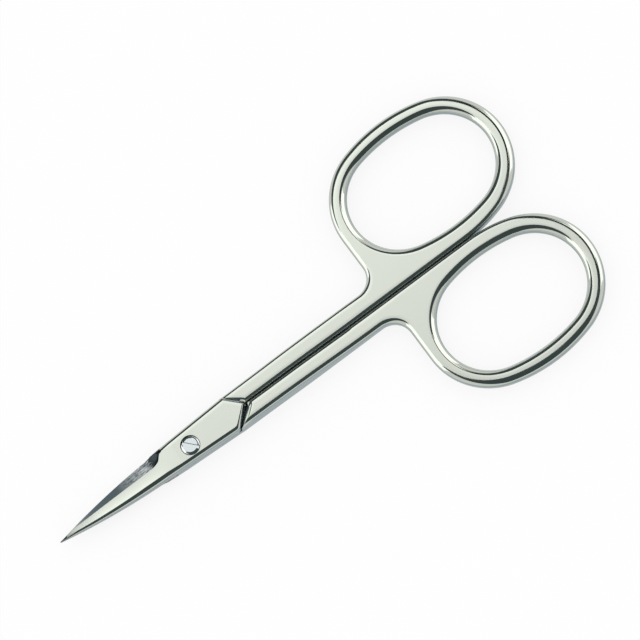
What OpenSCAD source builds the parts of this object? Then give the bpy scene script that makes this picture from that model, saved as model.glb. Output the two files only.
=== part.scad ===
// Cuticle scissors, closed. Two halves of the same forging, one turned over on the other,
// lapped at half thickness and held by a slotted pivot screw. Millimetres.
// Origin: on the pivot axis at the underside. +X points to the tips, +Z to the screw head,
// and +Y to the side where the back half has its finger ring.

/* [Overall] */
// Distance from the pivot axis to the blade tips
blade_reach = 24.2; // [22:0.1:27]
// Distance from the pivot axis to the centre of the finger rings
ring_reach = 51.05; // [47:0.05:58]
// Thickness of the closed scissors at the joint
joint_t = 3.3; // [3:0.1:3.8]
// Thickness of a finger ring
ring_t = 2.3; // [2:0.1:2.8]

/* [Finger rings] */
// Length of a ring's opening, along the scissors
hole_l = 24; // [22:0.1:25]
// Width of a ring's opening, across the scissors
hole_w = 17.1; // [16:0.1:18]
// Radius of the two ends of the opening
hole_end_r = 8.1; // [7.6:0.1:8.2]
// Width of the ring at its outer side
ring_bar = 2.7; // [2.4:0.1:3]
// Width of the ring beside the parting plane
inner_bar = 3.04; // [2.8:0.02:3.2]
// Radius between the shank and the ring
neck_r = 3.1; // [2.6:0.1:3.4]

/* [Shank and plate] */
// Width of one shank beside the ring
shank_w = 3.05; // [2.9:0.05:3.3]
// Length over which the shank gains its full thickness, from the ring's neck
shank_taper_l = 16; // [10:0.5:20]
// Half width of the plate at its arrow end
plate_half_w = 2.83; // [2.7:0.01:3]
// Distance from the pivot axis to the point of the arrow
arrow_reach = 10.05; // [9:0.05:11]
// Length of the arrow, from its point to its shoulders
arrow_l = 2.6; // [2.2:0.1:3]
// Depth of the groove between the plate and its own shank
groove_depth = 0.4; // [0.2:0.05:0.6]
// Width of the groove
groove_w = 0.65; // [0.4:0.05:0.8]
// Width of the chamfer on the shank's lap shoulder
shoulder_chamfer = 0.9; // [0.6:0.05:1]
// Depth of that chamfer
shoulder_drop = 0.72; // [0.4:0.02:0.9]

/* [Blades] */
// Half width of a blade where its outline starts to curve
blade_half_w = 2.22; // [2:0.02:2.5]
// Distance from the pivot axis to where the outline starts to curve
curve_start = 6.5; // [6:0.1:8]
// Half width left at the tip
tip_half_w = 0.07; // [0.05:0.01:0.15]
// Thickness of one blade at the tip
tip_t = 0.55; // [0.45:0.05:0.8]
// Distance from the pivot axis to where the cutting bevel starts
bevel_start = 4.1; // [3.6:0.1:4.6]
// Length over which the bevel reaches its full width
bevel_run = 2.6; // [2:0.1:4]
// Distance of the bevel's upper border from the centre line
bevel_border = 0.3; // [0.1:0.05:0.5]
// How fast the blade thins behind its tip: 1 is an even taper, more leaves it thicker there
blade_taper = 1.25; // [1:0.05:1.6]
// Depth of the hollow in the inner face behind the bevel's start
hollow_depth = 0.12; // [0.05:0.01:0.15]

/* [Pivot] */
// Distance of the pivot axis from the parting plane
pivot_off = 0.3; // [0:0.05:0.5]
// Diameter of the screw head
head_d = 3; // [2.8:0.1:3.2]
// Height of the screw head at its rim
head_t = 0.55; // [0.4:0.05:0.7]
// Width of the chamfer round the screw head
head_chamfer = 0.2; // [0.1:0.05:0.3]
// Diameter of the screw's journal in the front half
journal_d = 1.9; // [1.7:0.1:2]
// Diameter of the screw's threaded end
thread_d = 1.7; // [1.5:0.1:1.8]
// Width of the screwdriver slot
slot_w = 0.5; // [0.4:0.05:0.6]
// Depth of the screwdriver slot
slot_depth = 0.3; // [0.2:0.05:0.4]
// Direction of the slot, from +X towards +Y
slot_angle = -48; // [-90:1:90]

/* [Fits] */
// Gap between the two plates
lap_gap = 0.05; // [0.04:0.01:0.1]
// Gap between the two shanks
wall_gap = 0.08; // [0.06:0.01:0.12]
// Gap between the arrow of one half and the shoulder of the other
shoulder_gap = 0.08; // [0.06:0.01:0.15]
// Radial clearance of the journal in its bore
journal_clear = 0.04; // [0.02:0.01:0.08]
// Radial clearance round the screw head
head_clear = 0.1; // [0.06:0.01:0.1]

/* [Hidden] */

steel = "#c9c9bf";
dark_steel = "#b4b5b0";

mid = joint_t / 2;
tip_x = blade_reach;
ring_x = -ring_reach;
arrow_x = -arrow_reach;
arrow_end_x = arrow_x + arrow_l;

// The opening and the outline of a ring are ovals of four arcs, given by their half axes.
// The rim bulges a little past the width of the bar at its two ends.
rim_bulge = 0.06;
hole_a = hole_l / 2;
hole_b = hole_w / 2;
hole_y = -wall_gap / 2 - inner_bar - hole_b;
rim_a = hole_a + ring_bar + rim_bulge;
rim_b = hole_b + (ring_bar + inner_bar) / 2;
rim_y = -wall_gap / 2 - rim_b;
rim_end_r = hole_end_r + ring_bar + rim_bulge;

// The neck, where the shank widens into the web of the ring
neck_y = -shank_w - neck_r;
neck_x = ring_x + rim_a + neck_r;

// Steps of the curves and of the edge rounding
edge_steps = 4;
oval_step = 5;
neck_step = 10;
wall_steps = 8;
shank_steps = 8;
arrow_steps = 3;
plate_steps = 3;
blade_steps = 19;
ground_steps = 18;
hollow_steps = 3;

// Radius of the plate's edge at the point of the arrow
arrow_r = 0.2;

// Narrow flats that the grinding leaves at the cutting edge and inside it
edge_land = 0.03;
inner_land = 0.12;
// How far a cutting solid reaches past the face that it cuts
cut_over = 0.5;
// Height of the screw head's underside above its seat
seat_clear = 0.02;

// Radius of the rounded long edges, by distance along the scissors
edge_r = [[ring_x, 0.85], [neck_x - 3, 0.85], [neck_x, 0.7], [arrow_end_x, 0.64], [2.5, 0.66],
    [5, 0.82], [9, 0.8], [tip_x - 3, 0.38], [tip_x - 1, 0.14], [tip_x, 0.04]];

function mix(a, b, t) = a + (b - a) * t;
function clamp01(t) = min(1, max(0, t));
function ease(t) = let (s = clamp01(t)) s * s * (3 - 2 * s);
function unit(v) = v / norm(v);
function left_of(v) = [-v[1], v[0]];

// Half thickness: the shank thins towards the ring, the blades thin towards the tip
taper_start = 2;
function half_t(x) = x < taper_start
    ? mix(ring_t / 2, mid, ease((x - neck_x) / shank_taper_l))
    : mix(mid, tip_t, pow(clamp01((x - taper_start) / (tip_x - taper_start)), blade_taper));

// Half width: the shank and plate run straight, and each blade edge is one long curve
run_slope = (plate_half_w - blade_half_w) / (curve_start - arrow_end_x);
curve_l = tip_x - curve_start;
curve_k = (blade_half_w - run_slope * curve_l - tip_half_w) / (curve_l * curve_l);
function half_w(x) = let (past = max(0, x - curve_start))
    x < arrow_end_x ? mix(shank_w, plate_half_w, ease((x - neck_x) / (arrow_end_x - neck_x)))
    : blade_half_w - run_slope * (x - curve_start) - curve_k * past * past;

// Distance from the centre of an oval of four arcs to its edge, in the direction angle
function oval_reach(a, b, end_r, angle) =
    let (c = a - end_r,
        side_r = (c * c + b * b - end_r * end_r) / (2 * (b - end_r)),
        turn = atan2(side_r - b, c),
        join = [c + end_r * cos(turn), end_r * sin(turn)],
        u = [abs(cos(angle)), abs(sin(angle))],
        on_end = atan2(u[1], u[0]) < atan2(join[1], join[0]),
        centre = on_end ? [c, 0] : [0, b - side_r],
        r = on_end ? end_r : side_r,
        along = u * centre)
    along + sqrt(r * r - centre * centre + along * along);

// Stations along the shank, plate and blade
stations = concat(
    [for (i = [0 : shank_steps]) mix(neck_x, arrow_x, i / shank_steps)],
    [for (i = [1 : arrow_steps]) mix(arrow_x, arrow_end_x, i / arrow_steps)],
    [for (i = [1 : plate_steps]) mix(arrow_end_x, taper_start, i / plate_steps)],
    [for (i = [1 : blade_steps]) mix(taper_start, tip_x, i / blade_steps)]);
function plate_side(x) = x <= arrow_x ? -wall_gap / 2
    : x < arrow_end_x ? mix(-wall_gap / 2, half_w(x), (x - arrow_x) / arrow_l)
    : half_w(x);

// Outline, counterclockwise from above: along the parting plane, round the rim, through the
// neck, out to the tip and back
wall_edge = [for (i = [0 : wall_steps - 1]) [mix(neck_x, ring_x, i / wall_steps), -wall_gap / 2]];
rim_edge = [for (a = [90 : oval_step : 360]) let (d = oval_reach(rim_a, rim_b, rim_end_r, a))
    [ring_x + d * cos(a), rim_y + d * sin(a)]];
neck_edge = [for (a = [180 : -neck_step : 90])
    [neck_x + neck_r * cos(a), neck_y + neck_r * sin(a)]];
ring_edge = concat(wall_edge, rim_edge, neck_edge);
last = len(stations) - 1;
outline = concat(ring_edge,
    [for (i = [1 : last]) [stations[i], -half_w(stations[i])]],
    [for (i = [last : -1 : 1]) [stations[i], plate_side(stations[i])]]);

// The opening's points lie opposite those of the wall and rim, then go evenly past the neck
rim_angle = [for (p = concat(wall_edge, rim_edge)) atan2(p[1] - hole_y, p[0] - ring_x)];
rim_end = rim_angle[len(rim_angle) - 1];
hole_rest = len(neck_edge) + wall_steps - 1;
hole_angle = concat(rim_angle,
    [for (i = [1 : hole_rest]) mix(rim_end, rim_angle[0], i / (hole_rest + 1))]);
hole = [for (a = hole_angle) let (d = oval_reach(hole_a, hole_b, hole_end_r, a))
    [ring_x + d * cos(a), hole_y + d * sin(a)]];

// A point of a closed loop moved square to its edges, to the loop's left
function inset(loop, i, d) =
    let (n = len(loop),
        a = left_of(unit(loop[i] - loop[(i + n - 1) % n])),
        b = left_of(unit(loop[(i + 1) % n] - loop[i])))
    loop[i] + d * (a + b) / (1 + a * b);

// Radius of the rounded edge at an outline point: the arrow is nearly sharp at its point
function edge_radius(p) = p[0] > arrow_x - 0.1 && p[0] < arrow_end_x && p[1] > -wall_gap
    ? mix(arrow_r, lookup(arrow_end_x, edge_r), (p[0] - arrow_x) / arrow_l)
    : lookup(p[0], edge_r);

// One loop of the solid's surface: turn goes from 0 at the flat to 90 at the wall
function rounded_loop(loop, side, turn, up) =
    [for (i = [0 : len(loop) - 1])
        let (r = edge_radius(loop[i]),
            p = inset(loop, i, side * r * (1 - sin(turn))))
        [p[0], p[1], up * (half_t(p[0]) - r * (1 - cos(turn)))]];
function rounded_loops(loop, side) = concat(
    [for (k = [0 : edge_steps]) each rounded_loop(loop, side, 90 * k / edge_steps, 1)],
    [for (k = [edge_steps : -1 : 0]) each rounded_loop(loop, side, 90 * k / edge_steps, -1)]);

function quad(a, b, c, d) = [[a, b, c], [a, c, d]];
// The band between neighbouring loops of n points
function band(n, start) = [for (k = [0 : 2 * edge_steps]) for (i = [0 : n - 1])
    let (a = start + k * n, j = (i + 1) % n)
    each quad(a + i, a + j, a + n + j, a + n + i)];
function turned(faces) = [for (f = faces) [f[2], f[1], f[0]]];

// The flat face: o and h are the first points of the outline's and the opening's loop in it
function flat_face(o, h) =
    let (n = len(outline), m = len(hole), e = len(ring_edge) - 1)
    concat(
        [for (i = [0 : e - 1]) each quad(o + i, h + i, h + i + 1, o + i + 1)],
        [for (i = [e : m - 2]) [o + e, h + i, h + i + 1]],
        [[o + e, h + m - 1, h], [o + e, h, o]],
        [for (i = [0 : last - 1]) each quad(o + e + i, o + (n - i) % n, o + n - i - 1, o + e + i + 1)]);

// Both halves before they are lapped: full thickness from the ring to the tip
module forging() {
    n = len(outline);
    m = len(hole);
    levels = 2 * edge_steps + 1;
    start = n * (levels + 1);
    polyhedron(
        points = concat(rounded_loops(outline, 1), rounded_loops(hole, -1)),
        faces = concat(band(n, 0), turned(band(m, start)),
            flat_face(0, start), turned(flat_face(n * levels, start + m * levels))));
}

// A solid through sections of n points each, given as one list along +X. A section runs
// counterclockwise as seen from its far side.
module loft(points, n) {
    rows = len(points) / n;
    polyhedron(points = points, faces = concat(
        [[for (i = [0 : n - 1]) i]],
        [for (k = [0 : rows - 2]) for (i = [0 : n - 1])
            let (a = k * n, j = (i + 1) % n)
            each quad(a + i, a + n + i, a + n + j, a + j)],
        [[for (i = [n - 1 : -1 : 0]) (rows - 1) * n + i]]));
}

// Stations of the ground faces, close together where they start, and one past the tip
ground_l = tip_x - bevel_start;
ground_x = [for (i = [0 : ground_steps]) bevel_start + ground_l * pow(i / ground_steps, 1.6)];
past_tip = 0.5;

// Above the cutting bevel: a flat face from the cutting edge to the border by the centre line
module bevel_cutter() {
    loft([for (i = [0 : ground_steps + 1]) let (x = ground_x[min(i, ground_steps)],
        edge = -half_w(x),
        width = -min(bevel_border, half_w(x) / 2) - edge,
        drop = half_t(x) - lap_gap / 2 - edge_land,
        ground = ease((x - bevel_start) / bevel_run),
        reach = cut_over * unit([width, drop]),
        low = [edge, half_t(x) - ground * drop] - reach,
        high = [edge + ground * width, half_t(x)] + reach,
        at_x = x + (i > ground_steps ? past_tip : 0))
        each [[at_x, low[0], low[1]], [at_x, high[0], high[1]], [at_x, low[0], high[1]]]], 3);
}

// Below the hollow-ground inner face, which leaves a narrow land along both edges
module hollow_cutter() {
    wheel_r = pow(blade_half_w - inner_land, 2) / (2 * hollow_depth);
    n = hollow_steps;
    loft([for (i = [3 : ground_steps - 1]) let (x = ground_x[i],
        w = half_w(x) - inner_land,
        depth = ease((x - bevel_start) / bevel_run) * w * w / (2 * wheel_r))
        each concat([[x, -w, -cut_over], [x, w, -cut_over]],
            [for (k = [n : -1 : -n]) [x, w * k / n, lap_gap / 2 + depth * (1 - k * k / (n * n))]])],
        2 * n + 3);
}

// A cut along the arrow's line on the shank's side. The profile is drawn square to the line,
// with x towards the plate and y upwards.
arrow_turn = atan2(arrow_l, plate_half_w);
arrow_side = norm([arrow_l, plate_half_w]);
module along_arrow(profile) {
    translate([arrow_x, 0, 0]) rotate([90, 0, arrow_turn])
        translate([0, 0, -1]) linear_extrude(arrow_side + 3) polygon(profile);
}

// Room for the other half's plate: the half thickness in front of the shank's shoulder
module lap_pocket() {
    back = shoulder_gap * arrow_side / plate_half_w;
    side = 2 * plate_half_w;
    translate([0, 0, -joint_t]) linear_extrude(joint_t + lap_gap / 2)
        polygon([[arrow_x - back, 0], [arrow_x - back + 2 * arrow_l, -side],
            [tip_x + 1, -side], [tip_x + 1, side], [arrow_x - back, side]]);
}

module half() {
    difference() {
        forging();
        lap_pocket();
        along_arrow([[0, mid + 1], [0, mid - groove_depth], [-groove_w, mid],
            [-groove_w, mid + 1]]);
        along_arrow([[1, -mid - 1], [1, -mid + shoulder_drop],
            [-shoulder_gap, -mid + shoulder_drop],
            [-shoulder_gap - shoulder_chamfer, -mid], [-shoulder_gap - shoulder_chamfer, -mid - 1]]);
        bevel_cutter();
        hollow_cutter();
        children();
    }
}

module front_half() {
    color(steel) translate([0, -pivot_off, mid]) half() {
        translate([0, pivot_off, 0]) cylinder(h = joint_t, d = journal_d + 2 * journal_clear, $fn = 48);
        translate([0, pivot_off, mid - head_t]) cylinder(h = joint_t, d = head_d + 2 * head_clear, $fn = 48);
    }
}

module back_half() {
    color(dark_steel) translate([0, -pivot_off, mid]) rotate([180, 0, 0]) half()
        translate([0, -pivot_off, 0]) cylinder(h = joint_t, d = thread_d, $fn = 48);
}

module pivot_screw() {
    color(steel) difference() {
        rotate_extrude($fn = 48) polygon([[0, 0], [thread_d / 2, 0], [thread_d / 2, mid],
            [journal_d / 2, mid], [journal_d / 2, joint_t - head_t + seat_clear],
            [head_d / 2, joint_t - head_t + seat_clear], [head_d / 2, joint_t - 0.75 * head_chamfer],
            [head_d / 2 - head_chamfer, joint_t], [0, joint_t]]);
        translate([0, 0, joint_t - slot_depth]) rotate([0, 0, slot_angle])
            translate([-head_d, -slot_w / 2, 0]) cube([2 * head_d, slot_w, slot_depth + 1]);
    }
}

front_half();
back_half();
pivot_screw();
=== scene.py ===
"""Cuticle scissors: polished, plated steel halves and their pivot screw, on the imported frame.

Every length below is in millimetres and is turned to metres where a mesh is made. A half is drawn
in its own frame: X to the tip, the parting plane at y = 0, the plates' mating plane at z = 0,
its own shank and ring on the -Y side and its plate on the +Z side. The front half is that shape
set on the pivot; the back half is the same shape turned over about X.
"""
import math

import bpy
import numpy as np
from mathutils import Matrix, Vector


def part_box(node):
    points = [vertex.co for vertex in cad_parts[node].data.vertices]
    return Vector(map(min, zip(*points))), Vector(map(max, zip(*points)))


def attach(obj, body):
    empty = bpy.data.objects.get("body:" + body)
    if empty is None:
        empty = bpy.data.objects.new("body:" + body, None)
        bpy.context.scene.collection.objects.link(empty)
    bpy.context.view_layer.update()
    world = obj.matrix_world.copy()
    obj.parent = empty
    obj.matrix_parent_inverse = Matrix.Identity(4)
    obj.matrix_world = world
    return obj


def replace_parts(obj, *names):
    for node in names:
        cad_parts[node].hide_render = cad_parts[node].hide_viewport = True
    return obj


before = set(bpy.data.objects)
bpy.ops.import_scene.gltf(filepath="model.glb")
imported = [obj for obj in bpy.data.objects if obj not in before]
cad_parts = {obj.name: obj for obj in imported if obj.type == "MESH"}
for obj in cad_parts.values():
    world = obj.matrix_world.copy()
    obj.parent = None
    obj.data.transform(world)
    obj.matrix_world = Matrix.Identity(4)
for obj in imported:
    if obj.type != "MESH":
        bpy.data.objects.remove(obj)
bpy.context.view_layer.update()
MM = 0.001

# Main sizes, the same as the solids'
TIP_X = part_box("front_half")[1].x / MM
JOINT_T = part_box("pivot_screw")[1].z / MM
RING_X = -51.05
RING_T = 2.3
HOLE_A, HOLE_B, HOLE_END_R = 12.0, 8.55, 8.1
RING_BAR, INNER_BAR, RIM_BULGE = 2.7, 3.04, 0.06
WALL_GAP, LAP_GAP = 0.08, 0.05
NECK_R = 3.1
SHANK_W, PLATE_HALF_W, BLADE_HALF_W = 3.05, 2.83, 2.22
ARROW_X, ARROW_L = -10.05, 2.6
CURVE_START, TAPER_START, TIP_HALF_W, TIP_T = 6.5, 2.0, 0.07, 0.55
SHANK_TAPER_L, BLADE_TAPER = 16.0, 1.25
BEVEL_START, BEVEL_RUN, BEVEL_BORDER = 4.1, 2.6, 0.3
HOLLOW_DEPTH, INNER_LAND, EDGE_LAND = 0.12, 0.12, 0.03
PIVOT_OFF = 0.3
HEAD_D, HEAD_T, JOURNAL_D, THREAD_D = 3.0, 0.55, 1.9, 1.7
JOURNAL_CLEAR, SEAT_CLEAR = 0.04, 0.02
SLOT_W, SLOT_DEPTH, SLOT_ANGLE = 0.5, 0.3, -48.0

# Worked out from them
MID = JOINT_T / 2
ARROW_END = ARROW_X + ARROW_L
HOLE_Y = -WALL_GAP / 2 - INNER_BAR - HOLE_B
RIM_A = HOLE_A + RING_BAR + RIM_BULGE
RIM_B = HOLE_B + (RING_BAR + INNER_BAR) / 2
RIM_Y = -WALL_GAP / 2 - RIM_B
RIM_END_R = HOLE_END_R + RING_BAR + RIM_BULGE
NECK_X = RING_X + RIM_A + NECK_R
NECK_Y = -SHANK_W - NECK_R

# The photograph: where the screw's centre is, the scissors' direction and the size of a pixel
PHOTO = 640
SCREW_PIXEL = (190.2, 445.1)
LONG_AXIS_TURN = math.radians(36.6)
CAMERA_TILT = math.radians(16.0)
MM_PER_PIXEL = 0.1486
CAMERA_FAR = 700.0


def mix(a, b, t):
    return a + (b - a) * t


def ease(t):
    """A smooth step: 0 below t = 0, 1 above t = 1, and 3t^2 - 2t^3 between."""
    t = np.clip(t, 0, 1)
    return t * t * (3 - 2 * t)


def unit(v):
    return v / np.linalg.norm(v, axis=-1, keepdims=True)


def long_taper(x):
    """Half thickness of the closed scissors: thinner from shank to ring and from plate to tip."""
    shank = mix(RING_T / 2, MID, ease((x - NECK_X) / SHANK_TAPER_L))
    s = np.clip((x - TAPER_START) / (TIP_X - TAPER_START), 0, 1)
    return np.where(x < TAPER_START, shank, mix(MID, TIP_T, s**BLADE_TAPER))


# Over its last stretch a blade thins further, to a finer point than the solids' blunt end
POINT_L, POINT_THIN = 3.0, 0.45


def half_t(x):
    """Half thickness with the blades' finer point."""
    return long_taper(x) * mix(1, POINT_THIN, ease((x - TIP_X + POINT_L) / POINT_L))


RUN_SLOPE = (PLATE_HALF_W - BLADE_HALF_W) / (CURVE_START - ARROW_END)
CURVE_L = TIP_X - CURVE_START
CURVE_K = (BLADE_HALF_W - RUN_SLOPE * CURVE_L - TIP_HALF_W) / CURVE_L**2


def half_w(x):
    """Half width: the shank and plate run straight, and each blade edge is one long curve."""
    shank = mix(SHANK_W, PLATE_HALF_W, ease((x - NECK_X) / (ARROW_END - NECK_X)))
    past = np.maximum(0, x - CURVE_START)
    blade = BLADE_HALF_W - RUN_SLOPE * (x - CURVE_START) - CURVE_K * past * past
    return np.where(x < ARROW_END, shank, blade)


# Radii of the long edges: at the joint, at the parting plane beside the rings, at the finger
# openings, and along the scissors
JOINT_R, PARTING_R, HOLE_R = 0.64, 0.6, 1.06
EDGE_R_X = [RING_X, NECK_X - 3, NECK_X, ARROW_END, 2.5, 5, 9, TIP_X - 3, TIP_X - 1, TIP_X]
EDGE_R = [0.86, 0.86, 0.7, JOINT_R, 0.66, 0.82, 0.8, 0.38, 0.14, 0.04]


def edge_radius(x):
    """Radius of the rounded long edges, by distance along the scissors."""
    return np.interp(x, EDGE_R_X, EDGE_R)


def oval(a, b, end_r, centre_y, angles):
    """Points on an oval of four arcs, at the given angles from its centre.

    The end arcs stand on the long axis, the side arcs are tangent to them, and a point is
    where the ray from the centre meets the arc that it falls on.
    """
    c = a - end_r
    side_r = (c * c + b * b - end_r * end_r) / (2 * (b - end_r))
    turn = math.atan2(side_r - b, c)
    join = math.atan2(end_r * math.sin(turn), c + end_r * math.cos(turn))
    u = np.stack([np.abs(np.cos(angles)), np.abs(np.sin(angles))], -1)
    on_end = (np.arctan2(u[:, 1], u[:, 0]) < join)[:, None]
    centre = np.where(on_end, [c, 0.0], [0.0, b - side_r])
    r = np.where(on_end[:, 0], end_r, side_r)
    along = (u * centre).sum(-1)
    reach = along + np.sqrt(r * r - (centre * centre).sum(-1) + along * along)
    return np.stack([RING_X + reach * np.cos(angles), centre_y + reach * np.sin(angles)], -1)


# Sizes that only the looks have: the end of a shank is rounded from its outer corner to the
# arrow's point, more below than above, and the plate's edge beside it is nearly sharp. The
# end stands this far along X from the solids', above and below
GROOVE_R, SHOULDER_R = (0.4, 0.95), (1.04, 1.3)
ARROW_R, POINT_R, CORNER_R = 0.15, 0.2, 1.5
END_IN, END_BACK = 0.03, -0.11
# How finely the surfaces are divided, in steps and in degrees round a ring
EDGE_STEPS, SHANK_STEPS, END_STEPS, ACROSS = 12, 34, 16, 13
SIDE_STEPS, NECK_STEPS, RING_STEP = 7, 14, 2.5
# Steps of a blade's rails: the plate's corner, up to the pivot, beside it, up to the bevel, the
# bevel's run-out, the blade, and its point. The slanted line has fewer by what the corner has more
RAIL_STEPS = 4, 8, 24, 5, 28, 39, 15
LINE_SHORT = 3
# The pivot's columns reach this far in X, and the points crowd towards the tip over this length
HOLE_ROOM, CROWDED_L = 2.4, 3.0
# The points near a corner move along over this length, the slanted end's steps fade out over
# so many points, and a closed line is drawn past its ends by so many
CORNER_L, STEP_FADE, WRAP = 6.0, 3, 3
# A step short enough to take a slope with
SLOPE_STEP = 1e-4
# The flats roll off over this width beside each edge, or this share of a narrow blade, to this
# lean. Before the bevel the width falls to a share, over a length
ROLL, RING_ROLL, PLATE_ROLL, ROLL_LEAN, ROLL_STEPS = 0.5, 0.3, 0.04, math.radians(4), 4
ROLL_SHARE, ROLL_END, ROLL_END_L = 0.3, 0.1, 2.2
# Points along the neck that face the parting edge, and not the opening
THROAT = 4
# The shank's upper edges have this share of the lower ones' radius, which sets in about the
# neck, and the edge at the parting plane turns into the rim's over a width
TOP_EDGE, NECK_BLEND, PARTING_BLEND = 0.8, 4.0, 2.5
# The bevel's slope and its face set in over these lengths
BEVEL_FALL, BEVEL_SET = 3.2, 0.6
# The blade's outer face leans in by these slopes at its two sides, and more at the tip: where
# that starts, and over which length
FACE_LEAN, FACE_LEAN_X, FACE_LEAN_L = (0.03, -0.045), CURVE_START - 3, 5.0
TIP_LEAN, TIP_LEAN_X, TIP_LEAN_L = 0.35, TIP_X - 1.7, 1.2
# Finishes of a half, the screw's second finish, and the rows at the foot of an edge that belong
# to the wall. The wall's finish and the screw's second finish are painted shade
POLISH, BEVEL, WALL = 0, 1, 2
SEAM = 1
WALL_ROWS = 5


class Skin:
    """The surface of one piece: points in a half's own frame and four-cornered faces.

    Each corner of a face keeps its own surface's normal, so that a flat stays flat up to a
    rounded edge, as polishing leaves it. Faces share their points, so the skin is closed.
    """

    def __init__(self):
        self.points = np.zeros((0, 3))
        self.faces, self.normals, self.finishes = [], [], []

    def add(self, points):
        """Adds a grid of points and returns their numbers in the same grid."""
        first = len(self.points)
        self.points = np.concatenate([self.points, np.reshape(points, (-1, 3))])
        return np.arange(first, len(self.points)).reshape(np.shape(points)[:-1])

    def sheet(self, numbers, normals, turned=False, finish=POLISH):
        """Faces between the rows and columns of a grid of point numbers, in one finish."""
        low, high = slice(None, -1), slice(1, None)
        corners = [(low, low), (high, low), (high, high), (low, high)]
        corners = corners[::-1] if turned else corners
        normals = np.broadcast_to(normals, (*numbers.shape, 3))
        self.faces.append(np.stack([numbers[c].ravel() for c in corners], -1))
        self.normals.append(np.stack([normals[c].reshape(-1, 3) for c in corners], 1))
        self.finishes.append(np.full(len(self.faces[-1]), finish))

    def edge(self, numbers, normals, turned=False):
        """A rounded edge in the polished finish, and the wall under it in the sides' finish, whose
        colour is painted shade.
        """
        self.sheet(numbers[:-WALL_ROWS], normals[:-WALL_ROWS], turned)
        self.sheet(numbers[-WALL_ROWS - 1:], normals[-WALL_ROWS - 1:], turned, WALL)

    def piece(self, name, body, materials, place):
        """The finished object, in metres at its place. A face whose corners fall together
        becomes a triangle or is left out."""
        faces, normals = np.concatenate(self.faces), np.concatenate(self.normals)
        kept = faces != np.roll(faces, 1, 1)
        kept[kept.sum(1) < 3] = False
        corners = kept.sum(1)[kept.any(1)]
        used, number = np.unique(faces[kept], return_inverse=True)
        turn, shift = place
        mesh = bpy.data.meshes.new(name)
        mesh.vertices.add(len(used))
        mesh.vertices.foreach_set("co", ((self.points[used] @ turn.T + shift) * MM).ravel())
        mesh.loops.add(number.size)
        mesh.loops.foreach_set("vertex_index", number.ravel().astype(np.int32))
        mesh.polygons.add(len(corners))
        mesh.polygons.foreach_set("loop_start", (np.cumsum(corners) - corners).astype(np.int32))
        mesh.update(calc_edges=True)
        finishes = np.concatenate(self.finishes)[kept.any(1)]
        mesh.polygons.foreach_set("material_index", finishes.astype(np.int32))
        mesh.normals_split_custom_set(unit(normals[kept] @ turn.T))
        for material in materials:
            mesh.materials.append(material)
        obj = bpy.data.objects.new(name, mesh)
        bpy.context.scene.collection.objects.link(obj)
        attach(obj, body)
        return obj


def flat_normals(points, sign):
    """Normals of the outer flats, which fall with the long taper along X. The point's own
    thinning is left out, as polishing blends it in."""
    x = points[..., 0]
    fall = (long_taper(x + SLOPE_STEP) - long_taper(x - SLOPE_STEP)) / (2 * SLOPE_STEP)
    return unit(np.stack([-fall, 0 * x, 0 * x + sign], -1))


def edge_profile(radius, roll, depth):
    """How far an edge stands in from its wall at a depth below the flat, and how far it leans.

    Polishing rolls the flat off over a short way, as a parabola that ends leaning by a few
    degrees; from there a round edge of the given radius turns down into the wall.
    """
    end = roll * ROLL_LEAN / 2
    share = np.sqrt(np.clip(depth / end, 0, 1))
    lean = np.arccos(np.clip(math.cos(ROLL_LEAN) - np.clip(depth - end, 0, None) / radius, 0, 1))
    lean = np.where(share < 1, ROLL_LEAN * share, lean)
    start = radius * (1 - math.sin(ROLL_LEAN)) + roll
    return np.where(share < 1, start - roll * share, radius * (1 - np.sin(lean))), lean


def rounded(sides, sign, closed=True):
    """Rounded edges along the smooth sides of an outline, a grid of points and normals for each.

    A side is its line, its edge radii, the depth that its rows reach and the width over which
    the flat rolls off. A row stands in from the wall square to the line, as its depth says. At
    a corner of the outline it ends where both sides' offset lines meet, and the points near
    the corner move along by a falling share.
    """
    turn = np.linspace(0, np.pi / 2, EDGE_STEPS + 1)[:, None]
    rows = np.linspace(0, 1, ROLL_STEPS + 1)[:-1, None]
    found = []
    for line, radius, reach, roll in sides:
        along = unit(np.gradient(line, axis=0, edge_order=2))
        into = np.stack([-along[:, 1], along[:, 0]], -1)
        roll = np.broadcast_to(roll, radius.shape)
        end = roll * ROLL_LEAN / 2
        depth = np.concatenate([end * rows * rows, end + reach * (1 - np.cos(turn))])
        inward, lean = edge_profile(radius, roll, depth)
        found.append([line, along, into, lean, depth, inward, 0.0, 0.0])
    for a, b in zip(found, found[1:] + found[:1] if closed else found[1:]):
        n, m = a[2][-1], b[2][0]
        agree = n @ m
        if agree < 0.99:
            d, e = a[5][:, -1:], b[5][:, :1]
            move = (d + e) / 2 * (n + m) / (1 + agree) + (d - e) / 2 * (n - m) / (1 - agree)
            a[7], b[6] = move @ a[1][-1], move @ b[1][0]
    grids = []
    for line, along, into, lean, depth, inward, start, end in found:
        run = np.concatenate([[0], np.cumsum(np.linalg.norm(np.diff(line, axis=0), axis=1))])
        near = min(CORNER_L, run[-1])
        slide = np.multiply.outer(start, np.clip(1 - run / near, 0, 1)) \
            + np.multiply.outer(end, np.clip(1 - (run[-1] - run) / near, 0, 1))
        flat = line + inward[..., None] * into + slide[..., None] * along
        points = np.concatenate([flat, (sign * (half_t(flat[..., 0]) - depth))[..., None]], -1)
        out = np.concatenate([-into, np.zeros((len(into), 1))], -1)
        lean = lean[..., None]
        normals = unit(np.cos(lean) * flat_normals(points, sign) + np.sin(lean) * out)
        grids.append((points, normals))
    return grids


def with_foot(points, normals, z):
    """The same grid with one more row, straight below the last one at height z."""
    foot = points[-1:].copy()
    foot[..., 2] = z
    return np.concatenate([points, foot]), np.concatenate([normals, normals[-1:]])


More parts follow.
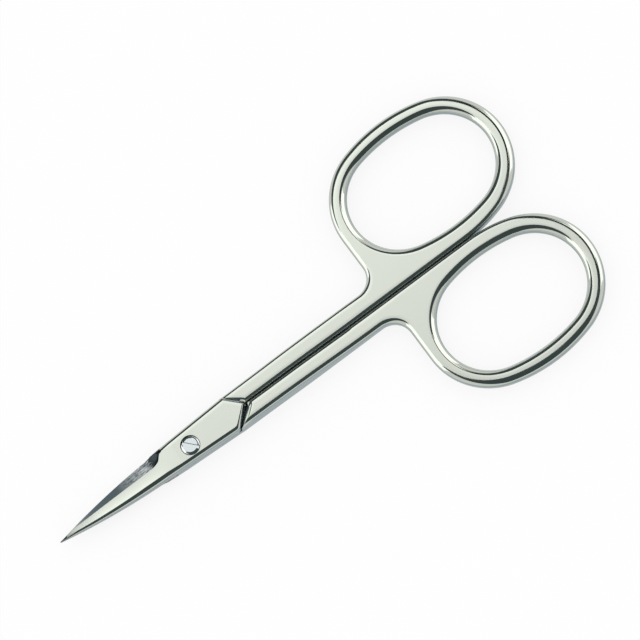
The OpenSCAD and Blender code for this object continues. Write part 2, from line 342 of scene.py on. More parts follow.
def stepped(points, normals, sign, knots):
    """The slanted end's rounding turned into two or three level steps, as the grinding leaves it.

    knots gives the steps' corners at a place along the end, 0 to 1, as rows of four: a share of
    the rows below the roll-off, how far the surface then stands in as a share of the end's
    width, its depth and its lean. The steps fade out at both ends of the line, where its
    neighbours' edges are plainly round.
    """
    count = points.shape[1]
    share = np.linspace(0, 1, EDGE_STEPS + 1)
    rows = slice(ROLL_STEPS, ROLL_STEPS + EDGE_STEPS + 1)
    along = unit(points[0, -1, :2] - points[0, 0, :2])
    into = np.array([-along[1], along[0]])
    wide = (points[rows.start, :, :2] - points[rows.stop - 1, :, :2]) @ into
    tables = [np.transpose(knots(t)) for t in np.linspace(0, 1, count)]
    inward, depth, lean = (np.array([np.interp(share, k[0], k[i]) for k in tables]).T
                           for i in (1, 2, 3))
    at = np.arange(count)
    kept = ease(np.minimum(at, count - 1 - at) / STEP_FADE)[None, :, None]
    end = points[rows.start:rows.stop].copy()
    foot = end[-1:, :, :2]
    end[..., :2] = foot + (inward * wide)[..., None] * into \
        + ((end[..., :2] - foot) @ along)[..., None] * along
    end[..., 2] = sign * (half_t(end[..., 0]) - depth)
    lean = lean[..., None]
    leaned = unit(np.cos(lean) * [0.0, 0.0, sign] - np.sin(lean) * [into[0], into[1], 0.0])
    points, normals = points.copy(), normals.copy()
    points[rows] = mix(points[rows], end, kept)
    normals[rows] = unit(mix(normals[rows], leaned, kept))
    return points, normals


def groove(t):
    """Beside its own plate: a slope falls from the flat to a narrow level floor."""
    return ((0, 1, 0.01, 0.1), (0.08, 0.94, 0.03, 0.6), (0.6, 0.42, 0.27, 0.6),
            (0.66, 0.38, 0.29, 0.03), (1, 0, 0.31, 0.03))


def shoulder(t):
    """Under the other half's plate: a small step, a land that widens outward, then the slope."""
    land = 0.3 * (1 - t)
    return ((0, 1, 0.01, 0.2), (0.1, 0.93, 0.09, 0.9), (0.16, 0.9, 0.1, 0.03),
            (0.5, 0.9 - land, 0.11, 0.03), (0.56, 0.84 - land, 0.16, 0.7), (1, 0, 0.9, 0.9))


def handle_outline(shift):
    """Outline of shank and ring, counterclockwise: from the arrow's point along the parting
    plane, round the rim, through the neck and along the outer rail; then the slanted end,
    moved along X by shift. Also the number of points up to the neck's end."""
    rail_x = np.linspace(ARROW_X + shift, NECK_X, SHANK_STEPS)
    first = math.atan2(-WALL_GAP / 2 - HOLE_Y, NECK_X - RING_X)
    turn = np.arange(math.degrees(first) + RING_STEP, 90, RING_STEP)
    wall_x = np.concatenate([rail_x, RING_X + (-WALL_GAP / 2 - HOLE_Y) / np.tan(np.radians(turn))])
    wall = np.stack([wall_x, np.full(len(wall_x), -WALL_GAP / 2)], -1)
    rim = oval(RIM_A, RIM_B, RIM_END_R, RIM_Y, np.radians(np.arange(90, 360.1, RING_STEP)))
    side = np.linspace([RING_X + RIM_A, RIM_Y], [RING_X + RIM_A, NECK_Y], SIDE_STEPS + 1)[1:-1]
    turn = np.linspace(np.pi, np.pi / 2, NECK_STEPS + 1)[:, None]
    neck = [NECK_X, NECK_Y] + NECK_R * np.concatenate([np.cos(turn), np.sin(turn)], 1)
    out_x = np.concatenate([rail_x[-2::-1], np.linspace(ARROW_X, ARROW_END, END_STEPS)[1:] + shift])
    rail = np.stack([out_x, -half_w(out_x)], -1)
    end = np.linspace(rail[-1], wall[0], END_STEPS)
    ring_end = sum(map(len, (wall, rim, side, neck)))
    return np.concatenate([wall, rim, side, neck, rail]), end, ring_end


def handle_radius(line, sign):
    """Radius of a handle's long edges: the long edges' own, less above the shank and less where
    the ring lies beside the other half's."""
    x = line[:, 0]
    top = mix(1, TOP_EDGE, ease((x - NECK_X + NECK_BLEND) / (2 * NECK_BLEND)))
    radius = edge_radius(x) * (1 if sign < 0 else top)
    beside = mix(np.minimum(radius, PARTING_R), radius, ease(-line[:, 1] / PARTING_BLEND))
    return np.where(x > NECK_X + NECK_BLEND, radius, beside)


def opening_edge(rim, sign):
    """Rounded edge of the finger opening, with one column for each point of the rim's line. The
    columns' angles about the oval's centre are the rim's, stretched to one full turn."""
    turn = np.unwrap(np.arctan2(rim[:, 1] - HOLE_Y, rim[:, 0] - RING_X))
    facing = (turn[0] + turn[-1]) / 2 - np.pi
    turn = facing + 2 * np.pi * (turn - turn[0]) / (turn[-1] - turn[0])
    past = turn.searchsorted(2 * np.pi)
    turn[past:] = np.linspace(turn[past], turn[-1], len(turn) - past)
    loop = oval(HOLE_A, HOLE_B, HOLE_END_R, HOLE_Y, turn)
    wide = np.concatenate([loop[-WRAP - 1:-1], loop, loop[1:WRAP + 1]])[::-1]
    radius = np.full(len(wide), HOLE_R)
    (points, normals), = rounded([(wide, radius, radius, RING_ROLL)], sign, False)
    return points[:, ::-1][:, WRAP:-WRAP], normals[:, ::-1][:, WRAP:-WRAP]


def handle(name, body, materials, place):
    """Shank and finger ring of a half, one closed skin: rounded outline and opening, the flats
    between them, and the slanted end, which leaves a groove beside its own plate above and a
    shoulder for the other half's plate below."""
    skin = Skin()
    feet = []
    for sign, shift, end_r, foot, knots in ((1, END_IN, GROOVE_R, LAP_GAP, groove),
                                            (-1, END_BACK, SHOULDER_R, 0, shoulder)):
        line, end, ring_end = handle_outline(shift)
        x, deepest = line[:, 0], end_r[1]
        radius = handle_radius(line, sign)
        at = np.arange(len(line))
        near = ease((x - ARROW_X + CORNER_L) / CORNER_L) * (at < SHANK_STEPS)
        near = np.maximum(near, ease((x - ARROW_X) / ARROW_L) * (at >= SHANK_STEPS))
        roll = mix(RING_ROLL, ROLL, ease((x - RING_X) / (NECK_X - RING_X)))
        sides = [(line, radius, mix(radius, deepest, near), roll),
                 (end, np.linspace(*end_r, END_STEPS), np.full(END_STEPS, deepest), roll[-1:])]
        main_grid, end_grid = rounded(sides, sign)
        points, normals = with_foot(*main_grid, foot)
        end_points, end_normals = with_foot(*stepped(*end_grid, sign, knots), foot)
        outer = skin.add(points)
        inner = skin.add(end_points[:, 1:-1])
        slant = np.concatenate([outer[:, -1:], inner, outer[:, :1]], 1)
        skin.edge(outer, normals, sign < 0)
        skin.edge(slant, end_normals, sign < 0)

        ring = slice(SHANK_STEPS - 1 + THROAT, ring_end - THROAT)
        hole_points, hole_normals = with_foot(*opening_edge(line[ring], sign), foot)
        numbers = skin.add(hole_points[:, :-1])
        opening = np.concatenate([numbers, numbers[:, :1]], 1)
        skin.edge(opening, hole_normals, sign > 0)

        top = outer[0]
        web = np.stack([top[ring], opening[0]])
        near_neck = np.array([[top[ring][0], opening[0, 0]], [top[ring][-1], opening[0, 0]]])
        parting = np.concatenate([top[SHANK_STEPS - 1::-1], slant[0, -2::-1]])
        shank = np.stack([parting, top[ring_end - 1:]])
        throat = np.stack([top[SHANK_STEPS - 1:SHANK_STEPS + THROAT],
                           top[ring_end - 1:ring_end - THROAT - 2:-1]])
        for flat, turned in ((web, sign > 0), (near_neck, sign > 0), (throat, sign > 0),
                             (shank, sign < 0)):
            skin.sheet(flat, flat_normals(skin.points[flat], sign), turned)
        feet.append((outer[-1], normals[-1], slant[-1], opening[-1], hole_normals[-1]))
    (a, n, slant_a, hole_a, m), (b, _, slant_b, hole_b, _) = feet
    skin.sheet(np.stack([a, b]), np.stack([n, n]), False, WALL)
    skin.sheet(np.stack([slant_a, slant_b]), np.array([0.0, 0.0, -1.0]))
    skin.sheet(np.stack([hole_a, hole_b]), np.stack([m, m]), True, WALL)
    return skin.piece(name, body, materials, place)


# Radius of the wheel that would grind the inner face as hollow as it is
WHEEL_R = (BLADE_HALF_W - INNER_LAND) ** 2 / (2 * HOLLOW_DEPTH)


def inner_z(x, y):
    """Height of the inner face: flat, and under the blade hollow ground to a wide shallow arc
    that leaves a narrow land along both edges."""
    w = np.clip(half_w(x) - INNER_LAND, 1e-3, None)
    ground = ease((x - BEVEL_START) / BEVEL_RUN)
    return LAP_GAP / 2 + ground * np.clip(w * w - y * y, 0, None) / (2 * WHEEL_R)


def inner_normals(points):
    """Normals of the inner face, from its slopes along and across."""
    x, y = points[..., 0], points[..., 1]
    along = (inner_z(x + SLOPE_STEP, y) - inner_z(x - SLOPE_STEP, y)) / (2 * SLOPE_STEP)
    across = (inner_z(x, y + SLOPE_STEP) - inner_z(x, y - SLOPE_STEP)) / (2 * SLOPE_STEP)
    return unit(np.stack([along, across, -np.ones_like(x)], -1))


def hollow_normals(points, share):
    """Normals of a blade's outer face: past the plate it is ground a touch hollow across, so
    its normals lean in from both edges."""
    flat = flat_normals(points, 1)
    lean = mix(*FACE_LEAN, share) * ease((points[..., :1] - FACE_LEAN_X) / FACE_LEAN_L)
    lean = lean + TIP_LEAN * ease((points[..., :1] - TIP_LEAN_X) / TIP_LEAN_L)
    return unit(flat + lean * [0, 1.0, 0])


def blade_outline():
    """Outline of plate and blade: the rails' places along X, the slanted line and the rail of
    the low side, and both of the high side in one, with an arc at the plate's corner. Also the
    length that the arc takes of either."""
    fillet = CORNER_R * math.tan((math.atan2(PLATE_HALF_W, ARROW_L) + RUN_SLOPE) / 2)
    stops = (ARROW_END, ARROW_END + fillet, -HOLE_ROOM, HOLE_ROOM, BEVEL_START,
             BEVEL_START + BEVEL_RUN, TIP_X - CROWDED_L)
    rail_x = [np.linspace(a, b, n + 1)[:-1] for a, b, n in zip(stops, stops[1:], RAIL_STEPS)]
    crowded = np.linspace(1, 0, RAIL_STEPS[-1] + 1) ** 1.5
    rail_x = np.concatenate([*rail_x, TIP_X - CROWDED_L * crowded])
    point = np.array([ARROW_X, -WALL_GAP / 2])
    low_line = np.linspace(point, [ARROW_END, -half_w(ARROW_END)], END_STEPS)
    low_rail = np.stack([rail_x, -half_w(rail_x)], -1)
    corner = np.array([ARROW_END, half_w(ARROW_END)])
    to_line = unit(point - corner)
    to_rail = unit(np.array([1.0, -RUN_SLOPE]))
    high_line = np.linspace(point, corner + fillet * to_line, END_STEPS - LINE_SHORT)
    from_line = np.array([-to_line[1], to_line[0]])
    centre = corner + fillet * to_line + CORNER_R * from_line
    start, finish = -from_line, unit(corner + fillet * to_rail - centre)
    spread = math.acos(float(start @ finish))
    bend = np.linspace(0, 1, RAIL_STEPS[0] + LINE_SHORT + 1)[:, None]
    arc = np.sin((1 - bend) * spread) * start + np.sin(bend * spread) * finish
    arc = centre + CORNER_R * arc / math.sin(spread)
    high_x = rail_x[RAIL_STEPS[0]:]
    high_rail = np.stack([high_x, half_w(high_x)], -1)
    return rail_x, low_line, low_rail, np.concatenate([high_line, arc[1:-1], high_rail]), fillet


def blade_edges(rail_x, low_line, low_rail, high, fillet):
    """Rounded edges of plate and blade: nearly sharp along the slanted lines, full along the
    rails. The roll-off narrows before the bevel, which starts at the edge itself."""
    r_low = edge_radius(rail_x)
    at_line = high[:, 0] < ARROW_END + fillet
    along_line = np.clip((high[:, 0] - ARROW_X) / ARROW_L, 0, 1)
    r_high = np.where(at_line, mix(POINT_R, JOINT_R, along_line), edge_radius(high[:, 0]))
    reach_high = np.where(at_line, JOINT_R, r_high)
    narrow = mix(1, ROLL_END, ease((rail_x - BEVEL_START + ROLL_END_L) / ROLL_END_L))
    roll = np.minimum(ROLL, ROLL_SHARE * half_w(rail_x)) * narrow
    roll_high = np.minimum(PLATE_ROLL, ROLL_SHARE * np.abs(high[::-1, 1]))
    roll_high[-END_STEPS + LINE_SHORT:] = PLATE_ROLL
    sides = [(high[::-1], r_high[::-1], reach_high[::-1], roll_high),
             (low_line, np.full(END_STEPS, ARROW_R), np.full(END_STEPS, JOINT_R), roll[:1]),
             (low_rail, r_low, r_low, roll)]
    (hi_p, hi_n), low_edge, rail_edge = rounded(sides, 1, False)
    return (hi_p[:, ::-1], hi_n[:, ::-1]), low_edge, rail_edge


def cut_bevel(rail_x, points, normals):
    """The cutting bevel on a rail's rounded edge.

    Its upper border sweeps in from the edge to a narrow border beside it, by a square law. From
    there the face falls in a straight line to the cutting edge, at a slope that sets in slowly.
    A point takes the lower of the rounding and that face, and from half of the run-out on it
    turns to the face alone.
    """
    w, top, radius = half_w(rail_x), half_t(rail_x), edge_radius(rail_x)
    past = rail_x - BEVEL_START
    run = np.clip(past / BEVEL_RUN, 0, 1)
    border = -np.minimum(BEVEL_BORDER, w / 2)
    line_y = mix(points[0, :, 1], border, 1 - (1 - run) ** 2)
    down = np.linspace(0, 1, len(points))[:, None]
    y = mix(points[..., 1], mix(line_y, -w, down), ease(2 * run))
    fall = (top - LAP_GAP / 2 - EDGE_LAND) / (border + w) * ease(past / BEVEL_FALL)
    plane = top - (line_y - y) * fall
    round_in = np.clip(radius - w - y, 0, radius)
    round_z = top - radius + np.sqrt(radius**2 - round_in**2)
    z = mix(np.minimum(round_z, plane), plane, ease(2 * run - 1))
    face = np.stack([np.broadcast_to(rail_x, y.shape), y, z], -1)
    points = mix(points, face, ease(past / BEVEL_SET)[None, :, None])
    measured = np.cross(np.gradient(points, axis=0, edge_order=2),
                        np.gradient(points, axis=1, edge_order=2))
    return points, np.where((past > 0)[None, :, None], unit(measured), normals)


def pierced_face(skin, low, high, sign):
    """The outer or inner face between two rows of point numbers, left open in a square round the
    pivot. Returns its grid of numbers and the loop of those round the square."""
    first = END_STEPS - 1 + sum(RAIL_STEPS[:2])
    hole = slice(first, first + RAIL_STEPS[2] + 1)
    share = np.linspace(0, 1, ACROSS)[:, None, None]
    a, b = skin.points[low], skin.points[high]
    grid = mix(a, b, share)
    if sign < 0:
        grid[..., 2] = inner_z(grid[..., 0], grid[..., 1])
        grid[0], grid[-1] = a, b
    ids = skin.add(grid)
    ids[0], ids[-1] = low, high
    ids[:, 0] = low[0]
    normals = hollow_normals(grid, share) if sign > 0 else inner_normals(grid)
    for part in (slice(0, hole.start + 1), slice(hole.stop - 1, None)):
        skin.sheet(ids[:, part], normals[:, part], sign > 0)
    return ids, np.concatenate([ids[0, hole], ids[1:-1, hole.stop - 1], ids[-1, hole][::-1],
                                ids[1:-1, hole.start][::-1], ids[0, hole][:1]])


def blade(name, body, materials, place, hole_y, bore):
    """Plate and blade of a half, one closed skin: the arrow-shaped plate round the pivot, a
    rounded spine, and the cutting bevel that runs out of the plate's edge in one sweep.

    bore lists the radius and height of each turn of the pivot's bore, from the outer flat to
    the inner face.
    """
    outline = blade_outline()
    rail_x = outline[0]
    high_edge, line_edge, rail_edge = blade_edges(*outline)
    floor = LAP_GAP / 2
    hi_p, hi_n = with_foot(*high_edge, floor)
    line_p, line_n = with_foot(*line_edge, floor)
    rail_p, rail_n = with_foot(*cut_bevel(rail_x, *rail_edge), floor)
    skin = Skin()
    line_ids = skin.add(line_p)
    rail_ids = np.concatenate([line_ids[:, -1:], skin.add(rail_p[:, 1:])], 1)
    hi_ids = np.concatenate([line_ids[:, :1], skin.add(hi_p[:, 1:])], 1)
    low_ids = np.concatenate([line_ids, rail_ids[:, 1:]], 1)
    ground = rail_x.searchsorted(BEVEL_START)
    skin.edge(line_ids, line_n)
    skin.edge(rail_ids[:, :ground + 1], rail_n[:, :ground + 1])
    skin.sheet(rail_ids[:, ground:], rail_n[:, ground:], finish=BEVEL)
    skin.edge(hi_ids, hi_n, True)

    # Both faces, and the bore's turns between their square openings
    outer, square = pierced_face(skin, low_ids[0], hi_ids[0], 1)
    around = skin.points[square] - [0, hole_y, 0]
    turn = np.unwrap(np.arctan2(around[:, 1], around[:, 0]))
    out = np.stack([np.cos(turn), np.sin(turn), 0 * turn], -1)
    turns = [skin.add(np.array([0, hole_y, z]) + r * out[:-1]) for r, z in bore]
    turns = [np.append(t, t[0]) for t in turns]
    skin.sheet(np.stack([square, turns[0]]), np.array([0, 0, 1.0]), True)
    inner, square = pierced_face(skin, low_ids[-1], hi_ids[-1], -1)
    skin.sheet(np.stack([square, turns[-1]]), np.array([0, 0, -1.0]))
    for (r, z), (s, y), a, b in zip(bore, bore[1:], turns, turns[1:]):
        wall = unit(np.array([0, 0, abs(r - s)]) - out * abs(z - y))
        skin.sheet(np.stack([a, b]), np.stack([wall, wall]), True)

    # The tip's end
    left, right = skin.points[low_ids[:, -1]], skin.points[hi_ids[:, -1]]
    cap = skin.add(mix(left[:, None], right[:, None], np.linspace(0, 1, ACROSS)[:, None]))
    cap[:, 0], cap[:, -1] = low_ids[:, -1], hi_ids[:, -1]
    cap[0], cap[-1] = outer[:, -1], inner[:, -1]
    skin.sheet(cap, np.array([1.0, 0, 0]))
    return skin.piece(name, body, materials, place)


# The rim of the screw's head: distances in from its side, and the lean in degrees at each. The
# outermost rows belong to the seam, whose colour is painted shade. Then the steps along the rim
# and across each flat half, and the room that the looks leave round the head
RIM_IN = 0.5, 0.44, 0.26, 0.22, 0.14, 0.09, 0.05, 0.03, 0.012, 0.0
RIM_LEAN = 0, 7, 11, 22, 27, 29, 31, 45, 65, 80
SEAM_ROWS = 5
RIM_STEPS, FLAT_ROWS = 32, 6
HEAD_ROOM = 0.035


def screw(name, body, materials):
    """Pivot screw, turned from rod: a slotted head with a rounded rim, a journal and a shaft
    whose end is flush with the plate below. The head is two equal sides of the slot."""
    skin = Skin()
    top, side, half = JOINT_T, HEAD_D / 2, SLOT_W / 2
    share = np.linspace(0, 1, RIM_STEPS + 1)
    into = np.array(RIM_IN)
    lean = np.radians(RIM_LEAN)
    drop = np.cumsum(-np.diff(into) * np.tan((lean[1:] + lean[:-1]) / 2))
    radii = side - np.append(into, 0)
    heights = np.concatenate([[0], drop, [SLOT_DEPTH]])
    edge = np.arcsin(half / radii)[:, None]
    angle = edge + (np.pi - 2 * edge) * share
    arcs = np.stack([radii[:, None] * np.cos(angle), radii[:, None] * np.sin(angle),
                     top - heights[:, None] + 0 * angle], -1)
    line = arcs[0] * [1, 0, 1] + [0, half, 0]
    inner = mix(line, arcs[0], np.linspace(0, 1, FLAT_ROWS + 1)[:-1, None, None])
    plate_n = np.broadcast_to([0, 0, 1.0], inner.shape)
    lean = np.append(lean, np.pi / 2)[:, None, None]
    arc_n = np.cos(lean) * [0, 0, 1] + np.sin(lean) * unit(arcs * [1, 1, 0])
    grid, normals = np.concatenate([inner, arcs]), np.concatenate([plate_n, arc_n])
    first = len(inner)
    turn_z = math.radians(SLOT_ANGLE)
    lows, rims = [], []
    for extra in (0, math.pi):
        c, s = math.cos(turn_z + extra), math.sin(turn_z + extra)
        turned = np.array([[c, -s, 0], [s, c, 0], [0, 0, 1]])
        ids = skin.add(grid @ turned.T)
        ids[:first, 0], ids[:first, -1] = ids[first, 0], ids[first, -1]
        skin.sheet(ids[:-SEAM_ROWS], normals[:-SEAM_ROWS] @ turned.T)
        # The rim's outermost rows: the seam's painted shade
        skin.sheet(ids[-SEAM_ROWS - 1:], normals[-SEAM_ROWS - 1:] @ turned.T, finish=SEAM)
        lip = np.concatenate([ids[:first - 1:-1, 0], ids[0, 1:-1], ids[first:, -1]])
        low = skin.points[lip].copy()
        low[:, 2] = top - SLOT_DEPTH
        low = skin.add(low)
        low[:2], low[-2:] = lip[0], lip[-1]
        skin.sheet(np.stack([lip, low]), turned @ [0, -1.0, 0], True)
        lows.append(low)
        rims.append(ids[-1])
    floor = np.stack([lows[0], lows[1][::-1]])
    # The slot's floor: painted shade at both ends beside the rim, polished between
    for part, finish in ((floor[:, :SEAM_ROWS + 2], SEAM),
                         (floor[:, SEAM_ROWS + 1:-SEAM_ROWS - 1], POLISH),
                         (floor[:, -SEAM_ROWS - 2:], SEAM)):
        skin.sheet(part, np.array([0, 0, 1.0]), True, finish)
    ring = np.concatenate([rims[0], rims[1], rims[0][:1]])
    flat = skin.points[ring] * [1, 1, 0]
    out = unit(flat)
    last = ring
    seat = top - HEAD_T + SEAT_CLEAR
    for r, z, normal in ((side, seat, out), (JOURNAL_D / 2, seat, [0, 0, -1.0]),
                         (JOURNAL_D / 2, MID, out), (THREAD_D / 2, MID, [0, 0, -1.0]),
                         (THREAD_D / 2, 0, out), (0, 0, [0, 0, -1.0])):
        below = skin.add(flat[:-1] * (r / side) + [0, 0, z])
        below = np.append(below, below[0]) if r else np.full(len(ring), below[0])
        skin.sheet(np.stack([last, below]), np.broadcast_to(normal, (2, len(ring), 3)))
        last = below
    return skin.piece(name, body, materials, (np.eye(3), np.zeros(3)))


def linear(colour):
    """A colour written as sRGB hex, as the linear values that a shader takes."""
    parts = np.array([int(colour[i:i + 2], 16) for i in (1, 3, 5)]) / 255
    parts = np.where(parts <= 0.04045, parts / 12.92, ((parts + 0.055) / 1.055) ** 2.4)
    return (*parts, 1.0)


def add(tree, kind, settings=(), links=()):
    """Adds a node: settings are its properties or input values, links its inputs' sources."""
    node = tree.nodes.new("ShaderNode" + kind)
    for name, value in dict(settings).items():
        if isinstance(name, str) and hasattr(node, name):
            setattr(node, name, value)
        else:
            node.inputs[name].default_value = value
    for name, source in dict(links).items():
        tree.links.new(source, node.inputs[name])
    return node


def new_material(name):
    material = bpy.data.materials.new(name)
    material.use_nodes = True
    material.node_tree.nodes.clear()
    return material, material.node_tree


# Size of the clouds in a plated finish. Along X, in millimetres: where the bevel's painted dark
# reflection turns from its darkest, at the run-out, into spots and those into an even grey, and how
# far the grit shifts both borders
CLOUD = 6.0
RUN_OUT_X, EVEN_X, GRIT_SHIFT = (7.9, 8.5), (10.0, 14.5), 3.0


def plated_steel(name, light, dark, rough, lines):
    """Carbon steel, polished on felt and plated with nickel and chrome: a mirror with a slight
    haze that drifts over some millimetres, crossed by the hairlines that the felt leaves.

    lines gives the hairlines' height in millimetres and their direction's stretch in X and Y.
    """
    material, tree = new_material(name)
    place = add(tree, "TexCoord").outputs["Object"]
    cloud = add(tree, "TexNoise", {"Scale": 1 / (CLOUD * MM), "Detail": 4.0, "Roughness": 0.6},
                {"Vector": place})
    tint = add(tree, "Mix", {"data_type": "RGBA", 6: linear(dark), 7: linear(light)},
               {"Factor": cloud.outputs["Fac"]})
    haze = add(tree, "MapRange", {"From Min": 0.35, "From Max": 0.65, "To Min": rough[0],
                                  "To Max": rough[1]}, {"Value": cloud.outputs["Fac"]})
    height, along, across = lines
    comb = add(tree, "Mapping", {"Scale": (1 / (along * MM), 1 / (across * MM), 1 / (across * MM))},
               {"Vector": place})
    hair = add(tree, "TexNoise", {"Scale": 1.0, "Detail": 3.0, "Roughness": 0.65},
               {"Vector": comb.outputs[0]})
    bump = add(tree, "Bump", {"Strength": 1.0, "Distance": height * MM},
               {"Height": hair.outputs["Fac"]})
    shader = add(tree, "BsdfPrincipled", {"Metallic": 1.0},
                 {"Base Color": tint.outputs[2], "Roughness": haze.outputs["Result"],
                  "Normal": bump.outputs[0]})
    add(tree, "OutputMaterial", (), {"Surface": shader.outputs[0]})
    return material


def bevel_with_painted_reflection(name):
    """The cutting bevel, ground crosswise and left off the polishing felt. Its colour is painted
    dark
    reflection: darkest where the bevel runs out, then spotted by the grit's noise, then an even
    dark grey to the tip. The grit's bump is the grinding's own."""
    material, tree = new_material(name)
    place = add(tree, "TexCoord").outputs["Object"]
    along = add(tree, "SeparateXYZ", (), {0: place}).outputs["X"]
    comb = add(tree, "Mapping", {"Scale": (1 / (0.9 * MM), 1 / (0.22 * MM), 1 / (0.22 * MM))},
               {"Vector": place})
    grit = add(tree, "TexNoise", {"Scale": 1.0, "Detail": 5.0, "Roughness": 0.7},
               {"Vector": comb.outputs[0]}).outputs["Fac"]
    # Painted dark reflection, spotted by the grit: dark and light greys where its noise is low and
    # high
    spots = add(tree, "MapRange", {"From Min": 0.4, "From Max": 0.62}, {"Value": grit})
    mottled = add(tree, "Mix", {"data_type": "RGBA", 6: linear("#50595c"), 7: linear("#ccd2d3")},
                  {"Factor": spots.outputs[0]})
    moved = add(tree, "Math", {"operation": "MULTIPLY_ADD", 1: GRIT_SHIFT * MM},
                {0: grit, 2: along})
    even = add(tree, "MapRange", {"From Min": EVEN_X[0] * MM, "From Max": EVEN_X[1] * MM},
               {"Value": moved.outputs[0]})
    # Painted dark reflection: an even dark grey from the spots to the tip
    main = add(tree, "Mix", {"data_type": "RGBA", 7: linear("#4d5b60")},
               {"Factor": even.outputs[0], 6: mottled.outputs[2]})
    # Painted dark reflection: darkest where the bevel runs out of the plate's edge
    past = add(tree, "MapRange", {"From Min": RUN_OUT_X[0] * MM, "From Max": RUN_OUT_X[1] * MM},
               {"Value": moved.outputs[0]})
    tone = add(tree, "Mix", {"data_type": "RGBA", 6: linear("#31393b")},
               {"Factor": past.outputs[0], 7: main.outputs[2]})
    bump = add(tree, "Bump", {"Strength": 1.0, "Distance": 0.0016 * MM}, {"Height": grit})
    shader = add(tree, "BsdfPrincipled", {"Metallic": 1.0, "Roughness": 0.2},
                 {"Base Color": tone.outputs[2], "Normal": bump.outputs[0]})
    add(tree, "OutputMaterial", (), {"Surface": shader.outputs[0]})
    return material


def seam_with_painted_shade(name):
    """Painted shade in the seam round the screw's head: a thin, nearly black line with a dull
    shine."""
    material, tree = new_material(name)
    shader = add(tree, "BsdfPrincipled", {"Base Color": linear("#1c1f20"), "Roughness": 0.5})
    add(tree, "OutputMaterial", (), {"Surface": shader.outputs[0]})
    return material


# Flats and edges: felt-polished, so close to a mirror, slightly warm, with lines along the bars
plating = plated_steel("polished_nickel_chrome_plate", "#c4c8bf", "#bcc0b7", (0.05, 0.11),
                       (0.0004, 6.0, 0.25))
# Bevel: its colour is painted dark reflection
bevel = bevel_with_painted_reflection("bevel_painted_dark_reflection")
# Sides: painted shade, a darker and bluer colour than the flats where they mirror the paper
# beside the scissors, with a broad sheen
walls = plated_steel("side_painted_shade", "#9aa7a8", "#8c999c", (0.28, 0.38),
                     (0.0012, 1.5, 0.15))
# Screw: turned from bar, so a cooler and lighter grey than the halves, a little hazier
turned_steel = plated_steel("plated_turned_screw", "#c9cfd0", "#bfc6c6", (0.08, 0.14),
                            (0.0004, 0.8, 0.2))
# Seam round the screw: painted shade, dark and dull against the metal, so the head reads as a
# piece of its own
seam = seam_with_painted_shade("seam_painted_shade")

# Both halves from the same drawing: one set on the pivot, one turned over about X
shift = np.array([0, -PIVOT_OFF, MID])
counterbore, journal_bore = HEAD_D / 2 + HEAD_ROOM, JOURNAL_D / 2 + JOURNAL_CLEAR
front_bore = [(counterbore, MID), (counterbore, MID - HEAD_T), (journal_bore, MID - HEAD_T),
              (journal_bore, LAP_GAP / 2)]
back_bore = [(THREAD_D / 2, MID), (THREAD_D / 2, LAP_GAP / 2)]
finishes = [plating, bevel, walls]
for name, turn, hole_y, bore in (("front", np.eye(3), PIVOT_OFF, front_bore),
                                 ("back", np.diag([1.0, -1, -1]), -PIVOT_OFF, back_bore)):
    for made in (handle(name + "_handle", name, finishes, (turn, shift)),
                 blade(name + "_blade", name, finishes, (turn, shift), hole_y, bore)):
        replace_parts(made, name + "_half")
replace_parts(screw("pivot_screw_turned", "back", [turned_steel, seam]), "pivot_screw")


def studio(name, corners, shader, seen=False):
    """A flat sheet of the studio, corners in millimetres, with one shader; a card or lamp sheet
    is seen only in the metal."""
    material, tree = new_material(name)
    add(tree, "OutputMaterial", (), {"Surface": shader(tree).outputs[0]})
    mesh = bpy.data.meshes.new(name)
    mesh.from_pydata([Vector(c) * MM for c in corners], [], [tuple(range(len(corners)))])
    mesh.materials.append(material)
    obj = bpy.data.objects.new(name, mesh)
    bpy.context.scene.collection.objects.link(obj)
    if not seen:
        obj.visible_camera = obj.visible_diffuse = obj.visible_shadow = False
    return obj


def white_paper(tree):
    """Matt white paper. Camera, metal and glass see it close to plain white, with the soft
    shadow that the scissors leave on it."""
    path = add(tree, "LightPath").outputs
    either = add(tree, "Math", {"operation": "MAXIMUM"},
                 {0: path["Is Camera Ray"], 1: path["Is Transmission Ray"]})
    either = add(tree, "Math", {"operation": "MAXIMUM"},
                 {0: path["Is Glossy Ray"], 1: either.outputs[0]})
    share = add(tree, "Math", {"operation": "MULTIPLY", 1: PAPER_GLOW}, {0: either.outputs[0]})
    matt = add(tree, "BsdfDiffuse", {"Color": linear("#fbfbfb")})
    glow = add(tree, "Emission", {"Color": linear("#ffffff"), "Strength": 1.0})
    return add(tree, "MixShader", (), {0: share.outputs[0], 1: matt.outputs[0], 2: glow.outputs[0]})


def glowing(colour, strength):
    return lambda tree: add(tree, "Emission", {"Color": linear(colour), "Strength": strength})


def lamp_sheet(tree):
    """The soft box: white, brighter towards its far side, near its near side and towards +X."""
    place = add(tree, "TexCoord").outputs["Object"]
    parts = add(tree, "SeparateXYZ", (), {0: place}).outputs
    level = None
    for axis, ends, levels in (("Y", (-115, -75), (1.34, 1.12)), ("Y", (-120, -180), (1.0, 1.3)),
                               ("X", (20, 90), (1.0, 1.14))):
        fall = add(tree, "MapRange", {"From Min": ends[0] * MM, "From Max": ends[1] * MM,
                                      "To Min": levels[0], "To Max": levels[1]},
                   {"Value": parts[axis]})
        level = fall if level is None else add(tree, "Math", {"operation": "MULTIPLY"},
                                               {0: level.outputs[0], 1: fall.outputs[0]})
    return add(tree, "Emission", {"Color": linear("#ffffff")}, {"Strength": level.outputs[0]})


def rect(x, y, z):
    """Corners of a sheet between two points in each of X, Y and Z, Z rising with Y."""
    return [(x[0], y[0], z[0]), (x[1], y[0], z[0]), (x[1], y[1], z[1]), (x[0], y[1], z[1])]


def upright(x, y, z):
    """Corners of an upright sheet that faces along X."""
    return [(x, y[0], z[0]), (x, y[1], z[0]), (x, y[1], z[1]), (x, y[0], z[1])]


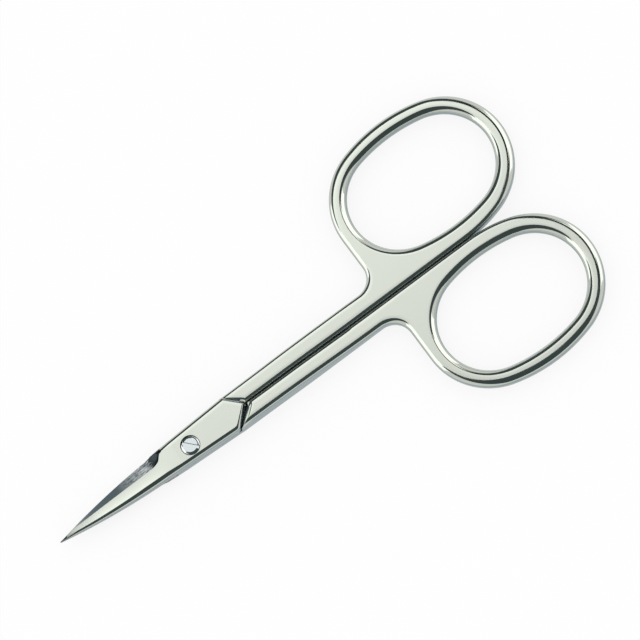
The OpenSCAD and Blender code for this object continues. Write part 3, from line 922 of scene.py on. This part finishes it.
# The studio, in millimetres. The flats mirror the lamp sheet overhead. The edges mirror the cards
# beside it as dark lines, and the rings' ends mirror the side lamps past the scissors' ends
PAPER_GLOW = 0.8
LAMP_Y, ROOF_Z, SIDE_X, SIDE_Z = (-196, -54), (402, 402), 302, (20, 402)
GAP_X, THIN_GAP_X, CARD_X = (-100, -175), (100, 122), (-300, 300)
card, side_lamp = glowing("#4b5659", 1), glowing("#ffffff", 1.9)
studio("floor", rect((-2500, 2500), (-2500, 2500), (-0.02, -0.02)), white_paper, True)
studio("lamp_sheet", rect((-100, 100), LAMP_Y, (400, 400)), lamp_sheet)
studio("gap_card", rect(GAP_X, LAMP_Y, ROOF_Z), glowing("#30373a", 1))
studio("thin_gap_card", rect(THIN_GAP_X, LAMP_Y, ROOF_Z), glowing("#7c8486", 1))
studio("far_card", rect(CARD_X, (-196, -900), (404, 160)), card)
studio("near_card", rect(CARD_X, (-54, 800), (404, 190)), card)
studio("side_lamp", upright(SIDE_X, (-370, 20), SIDE_Z), side_lamp)
studio("side_lamp", upright(-SIDE_X, (-165, 110), SIDE_Z), side_lamp)
studio("side_lamp", rect((THIN_GAP_X[1], SIDE_X), LAMP_Y, ROOF_Z), side_lamp)
studio("side_lamp", rect((GAP_X[1], -SIDE_X), LAMP_Y, ROOF_Z), side_lamp)

world = bpy.data.worlds.new("studio")
bpy.context.scene.world = world
world.use_nodes = True
world.node_tree.nodes.clear()
sky = add(world.node_tree, "Background", {"Color": linear("#ffffff"), "Strength": 1.0})
add(world.node_tree, "OutputWorld", (), {"Surface": sky.outputs[0]})

# Camera: level with the photograph's, turned by the scissors' direction in it
c, s = math.cos(CAMERA_TILT), math.sin(CAMERA_TILT)
a, b = math.cos(LONG_AXIS_TURN), math.sin(LONG_AXIS_TURN)
right = Vector((-a, b * c, -b * s))
up = Vector((-b, -a * c, a * s))
back = Vector((0, s, c))
aim = Vector((0, 0, JOINT_T)) - right * (SCREW_PIXEL[0] - PHOTO / 2) * MM_PER_PIXEL \
    + up * (SCREW_PIXEL[1] - PHOTO / 2) * MM_PER_PIXEL
lens = bpy.data.cameras.new("camera")
lens.sensor_width = 36
lens.lens = lens.sensor_width * CAMERA_FAR / (PHOTO * MM_PER_PIXEL)
lens.clip_start, lens.clip_end = 0.01, 10
camera = bpy.data.objects.new("camera", lens)
bpy.context.scene.collection.objects.link(camera)
pose = Matrix((right, up, back)).transposed().to_4x4()
pose.translation = (aim + back * CAMERA_FAR) * MM
camera.matrix_world = pose
bpy.context.scene.camera = camera
bpy.context.scene.view_settings.view_transform = "Standard"
